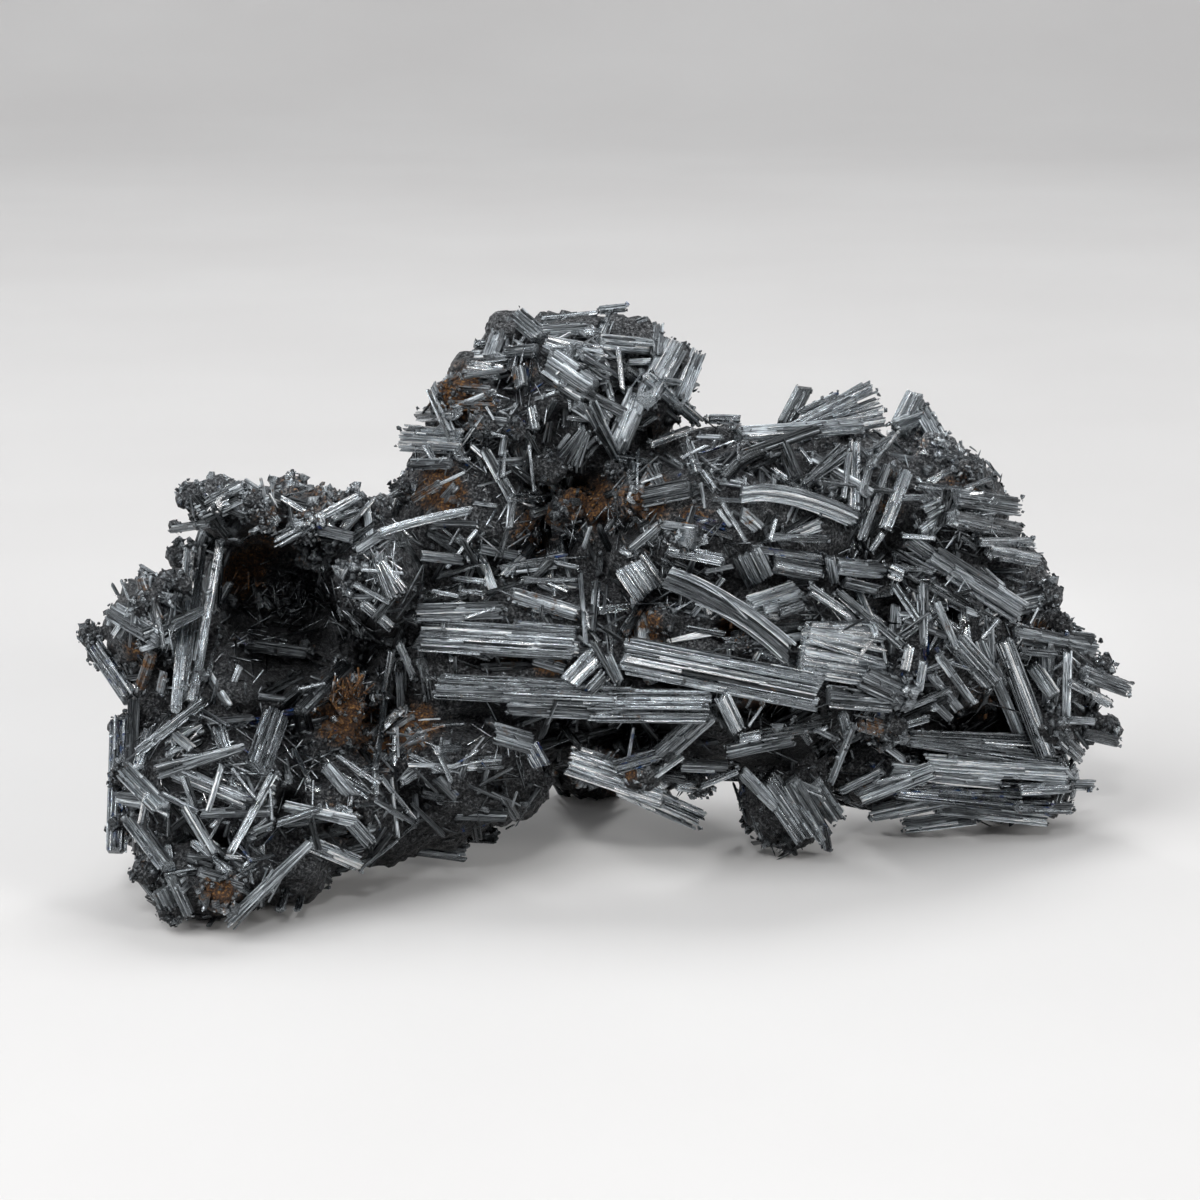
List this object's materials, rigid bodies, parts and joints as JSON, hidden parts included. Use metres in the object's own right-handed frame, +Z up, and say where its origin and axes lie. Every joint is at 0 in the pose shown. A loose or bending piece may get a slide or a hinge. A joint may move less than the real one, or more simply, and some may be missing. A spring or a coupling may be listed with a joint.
{
  "type": "stibnite crystal cluster",
  "caption": "Intergrown stibnite cluster of striated metallic blades, fans and needles, standing on low rounded feet.",
  "frame": {"origin": "centre of the bounding box in X and Y, on the ground the cluster stands on", "axes": "+Z up, +X along the cluster's length from the low round lobe to the far end, -Y towards the front"},
  "size_m": [0.1068, 0.064, 0.0541],
  "materials": {
    "stibnite": "lead-grey metallic crystal faces, striated along their length, with blue tarnish",
    "iron_crust": "dark granular crust between the crystals, stained orange-brown by iron"
  },
  "bodies": {
    "root": {"crystal_cluster": "stibnite"}
  },
  "joints": []
}
